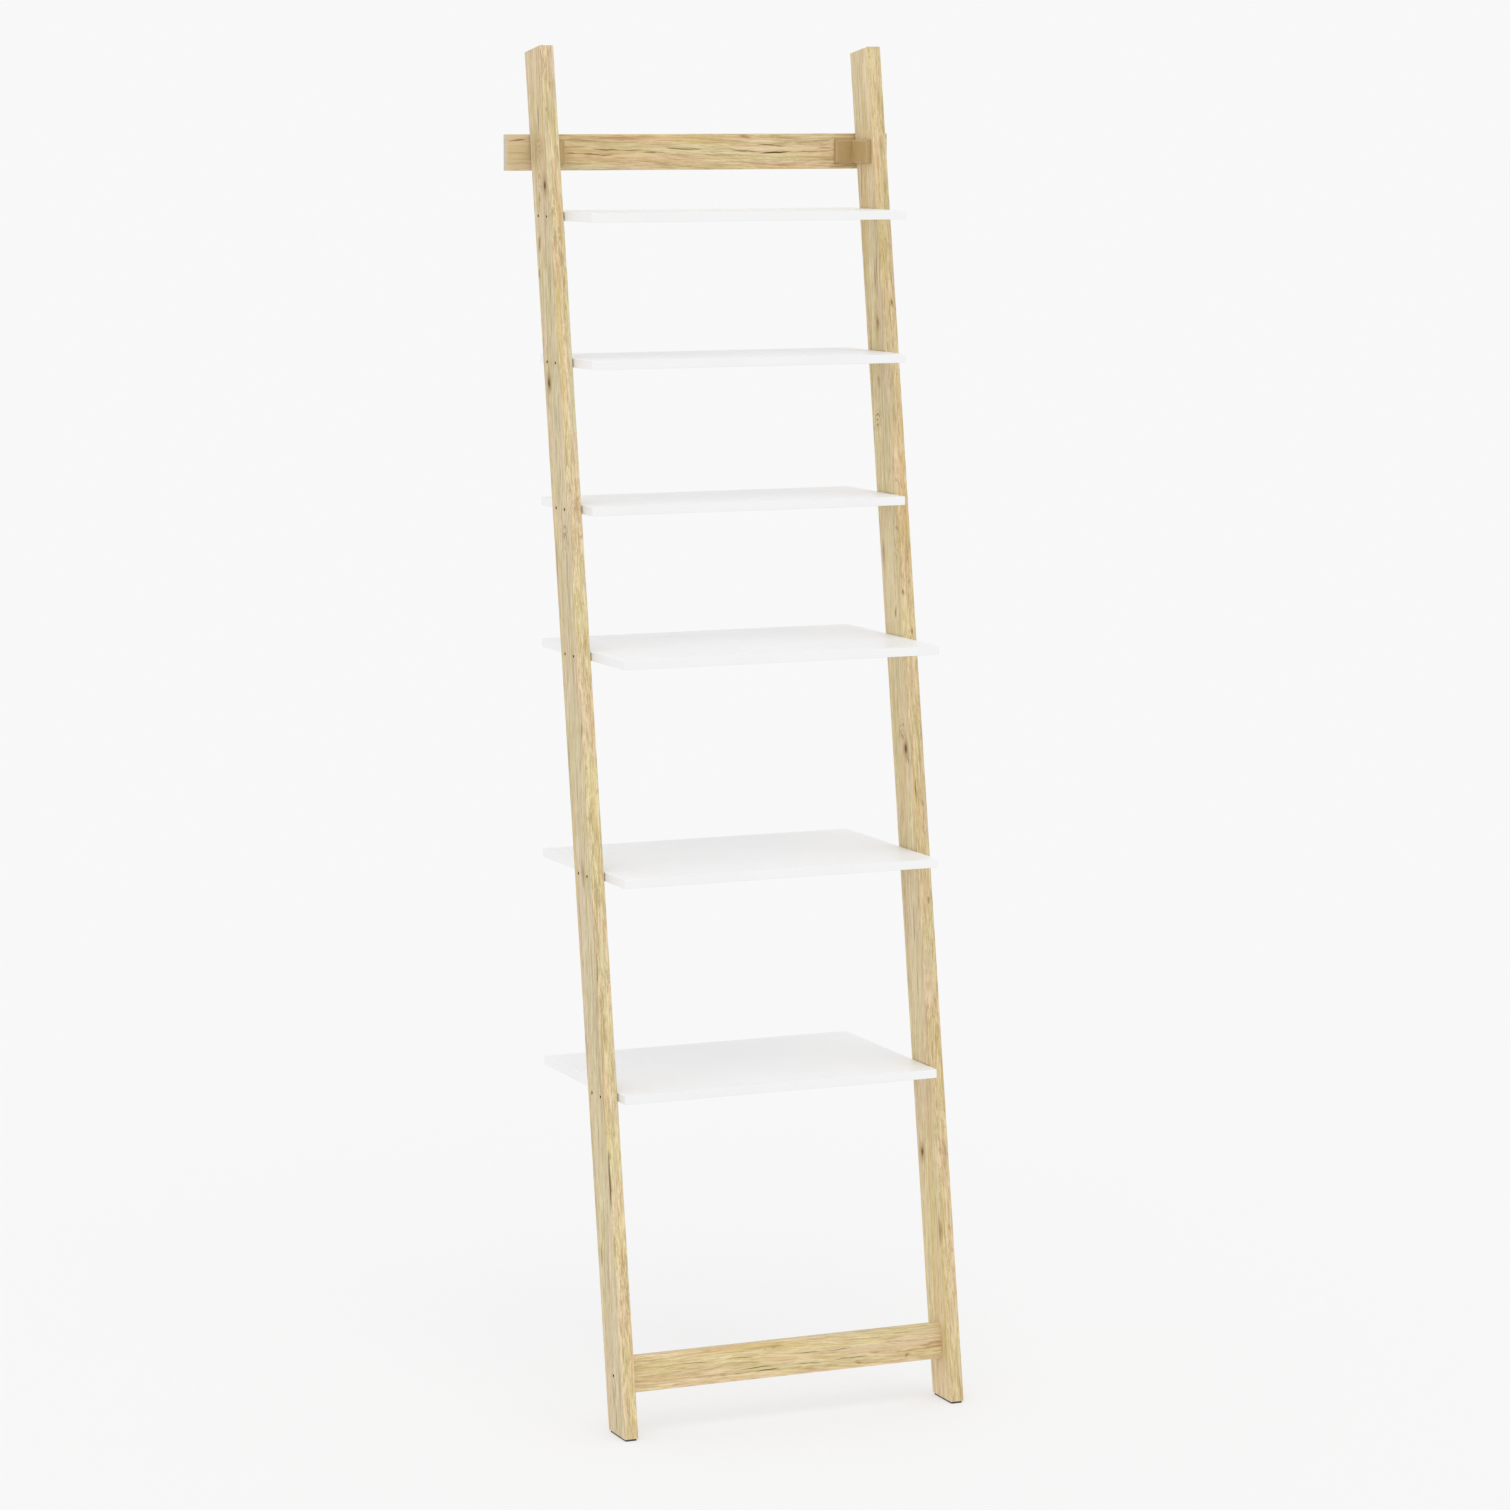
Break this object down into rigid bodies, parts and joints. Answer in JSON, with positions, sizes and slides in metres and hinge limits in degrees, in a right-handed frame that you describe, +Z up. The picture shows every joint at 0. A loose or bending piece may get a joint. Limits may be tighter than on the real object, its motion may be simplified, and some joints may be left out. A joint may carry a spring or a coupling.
{
  "type": "ladder shelf",
  "caption": "Leaning ladder shelf: two leaning oak-look stiles carry white boards of two depths, with a rail near the floor and a wall rail that joins the tops to a wall.",
  "frame": {"origin": "on the floor, midway across the width and midway between the front of the feet and the wall", "axes": "+X to the right of someone facing the shelf, +Y to the wall that it leans on, +Z up"},
  "size_m": [0.58, 0.3598, 1.8999],
  "materials": {
    "oak": "pale oak-look board with fine straight grain, matt",
    "white_board": "white laminate on board, satin",
    "beech": "plain dowel",
    "dark_nylon": "moulded, dark",
    "pad_rubber": "matt, dark grey",
    "bracket_plastic": "moulded, tan, fine texture",
    "steel": "zinc, slightly yellow"
  },
  "bodies": {
    "root": {"left_bracket_base": "bracket_plastic", "left_bracket_screws": "steel", "left_foot_pad": "pad_rubber", "left_lower_rail_dowels": "beech", "left_lower_rail_screw": "steel", "left_shelf_screws": "steel", "left_shelf_washers": "dark_nylon", "left_stile": "oak", "lower_rail": "oak", "right_bracket_base": "bracket_plastic", "right_bracket_screws": "steel", "right_foot_pad": "pad_rubber", "right_lower_rail_dowels": "beech", "right_lower_rail_screw": "steel", "right_shelf_screws": "steel", "right_shelf_washers": "dark_nylon", "right_stile": "oak", "shelf_1": "white_board", "shelf_2": "white_board", "shelf_3": "white_board", "shelf_4": "white_board", "shelf_5": "white_board", "shelf_6": "white_board", "wall_rail": "oak"},
    "left_cover": {"left_bracket_cover": "bracket_plastic"},
    "right_cover": {"right_bracket_cover": "bracket_plastic"}
  },
  "joints": [
    {"name": "left_cover_pull", "type": "slide", "parent": "root", "child": "left_cover", "axis": [0.7071, -0.7071, 0], "range_m": [0, 0.04]},
    {"name": "right_cover_pull", "type": "slide", "parent": "root", "child": "right_cover", "axis": [-0.7071, -0.7071, 0], "range_m": [0, 0.04]}
  ]
}
